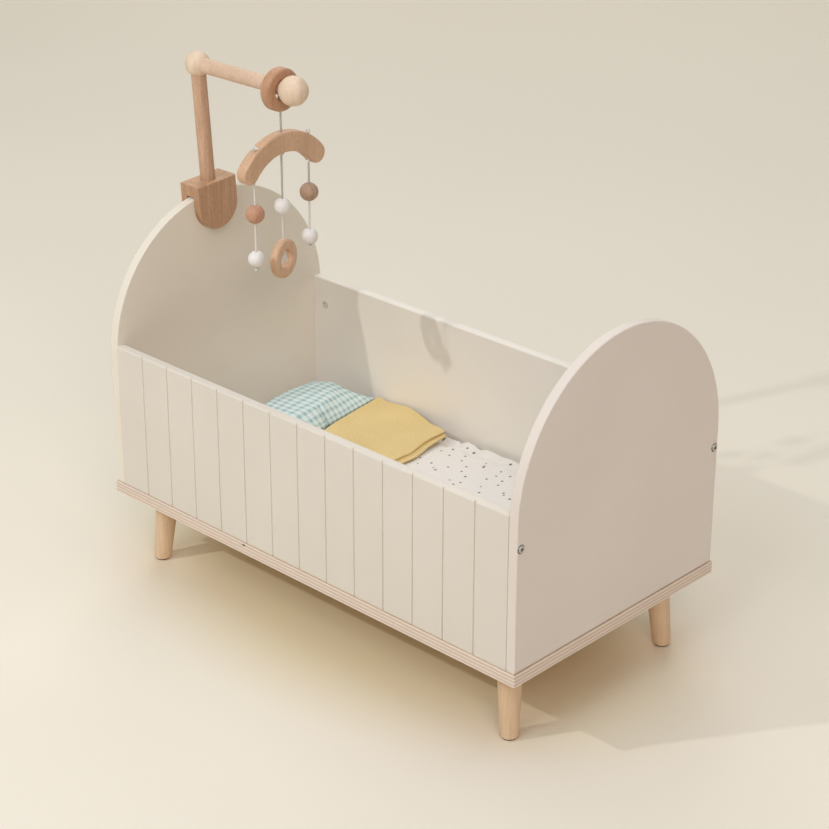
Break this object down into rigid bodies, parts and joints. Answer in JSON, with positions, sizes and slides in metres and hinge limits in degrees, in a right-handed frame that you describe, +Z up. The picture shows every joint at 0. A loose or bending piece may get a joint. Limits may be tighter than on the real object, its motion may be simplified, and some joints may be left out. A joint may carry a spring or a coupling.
{
  "type": "doll cot",
  "caption": "Doll cot with arched end boards, grooved side panels, splayed wooden legs and bedding, and a clamp-on wooden mobile with beads on strings.",
  "frame": {"origin": "on the floor, under the middle of the cot's outline, which runs from the mobile's clamp to the foot end of the base", "axes": "+X along the cot towards the footboard, +Y across it towards the back panel, +Z up"},
  "size_m": [0.5438, 0.2828, 0.5198],
  "materials": {
    "painted_board": "matte off-white paint",
    "plywood": "bare plywood, lightly sealed",
    "leg_wood": "light satin wood",
    "beech": "satin beech",
    "pale_beech": "satin pale beech",
    "red_beech": "satin reddish beech",
    "white_lacquer": "white lacquered wood",
    "steel": "zinc plated",
    "brass": "plain",
    "cord_cotton": "twisted cotton cord",
    "sheet_cotton": "white cotton with small dark specks",
    "pillow_cotton": "aqua and white gingham cotton",
    "blanket_cotton": "mustard yellow cotton"
  },
  "bodies": {
    "cot": {"base_board": "plywood", "headboard": "painted_board", "footboard": "painted_board", "front_panel": "painted_board", "back_panel": "painted_board", "leg_front_head": "leg_wood", "leg_back_head": "leg_wood", "leg_front_foot": "leg_wood", "leg_back_foot": "leg_wood", "leg_bolt_front_head": "steel", "leg_bolt_back_head": "steel", "leg_bolt_front_foot": "steel", "leg_bolt_back_foot": "steel", "leg_insert_front_head": "brass", "leg_insert_back_head": "brass", "leg_insert_front_foot": "brass", "leg_insert_back_foot": "brass", "panel_bolt_front_head": "steel", "panel_bolt_back_head": "steel", "panel_bolt_front_foot": "steel", "panel_bolt_back_foot": "steel", "barrel_nut_front_head": "steel", "barrel_nut_back_head": "steel", "barrel_nut_front_foot": "steel", "barrel_nut_back_foot": "steel", "base_screw_1": "steel", "base_screw_2": "steel", "base_screw_3": "steel", "base_screw_4": "steel", "base_screw_5": "steel", "base_screw_6": "steel"},
    "mattress": {"mattress": "sheet_cotton"},
    "pillow": {"pillow": "pillow_cotton"},
    "blanket": {"blanket": "blanket_cotton"},
    "mobile": {"mobile_clamp": "beech", "mobile_post": "beech", "elbow_ball": "pale_beech", "mobile_arm": "pale_beech", "end_ball": "pale_beech"},
    "ring": {"hanger_ring": "red_beech", "ring_knot": "cord_cotton"},
    "hanger": {"hanger_cord": "cord_cotton", "hanger_knot": "cord_cotton"},
    "bar": {"mobile_bar": "beech", "left_bar_knot": "cord_cotton", "right_bar_knot": "cord_cotton"},
    "left_drop": {"left_string": "cord_cotton", "left_wood_bead": "red_beech", "left_white_bead": "white_lacquer", "left_end_knot": "cord_cotton"},
    "centre_drop": {"centre_string": "cord_cotton", "centre_white_bead": "white_lacquer", "pendant_ring": "red_beech", "pendant_knot": "cord_cotton"},
    "right_drop": {"right_string": "cord_cotton", "right_wood_bead": "red_beech", "right_white_bead": "white_lacquer", "right_end_knot": "cord_cotton"}
  },
  "joints": [
    {"name": "mattress_lift", "type": "slide", "parent": "cot", "child": "mattress", "axis": [0, 0, 1], "range_m": [0, 0.08]},
    {"name": "pillow_lift", "type": "slide", "parent": "mattress", "child": "pillow", "axis": [0, 0, 1], "range_m": [0, 0.06]},
    {"name": "blanket_lift", "type": "slide", "parent": "mattress", "child": "blanket", "axis": [0, 0, 1], "range_m": [0, 0.06]},
    {"name": "mobile_lift", "type": "slide", "parent": "cot", "child": "mobile", "axis": [0, -0.0628, 0.998], "range_m": [0, 0.06]},
    {"name": "ring_swing", "type": "hinge", "parent": "mobile", "child": "ring", "pos_m": [-0.14061, -0.01708, 0.50076], "axis": [1, 0, 0], "range_deg": [-20, 20]},
    {"name": "hanger_swing", "type": "hinge", "parent": "ring", "child": "hanger", "pos_m": [-0.14061, -0.01708, 0.47696], "axis": [0, 1, 0], "range_deg": [-10, 10]},
    {"name": "bar_spin", "type": "hinge", "parent": "hanger", "child": "bar", "pos_m": [-0.14061, -0.01708, 0.4568], "axis": [0, 0, 1], "continuous": true},
    {"name": "left_swing", "type": "hinge", "parent": "bar", "child": "left_drop", "pos_m": [-0.13912, -0.05405, 0.41733], "axis": [-0.0401, 0.9992, 0], "range_deg": [-12, 12]},
    {"name": "centre_swing", "type": "hinge", "parent": "hanger", "child": "centre_drop", "pos_m": [-0.14061, -0.01708, 0.43324], "axis": [0, 1, 0], "range_deg": [-12, 12]},
    {"name": "right_swing", "type": "hinge", "parent": "bar", "child": "right_drop", "pos_m": [-0.14209, 0.01989, 0.41733], "axis": [-0.0401, 0.9992, 0], "range_deg": [-12, 12]}
  ]
}
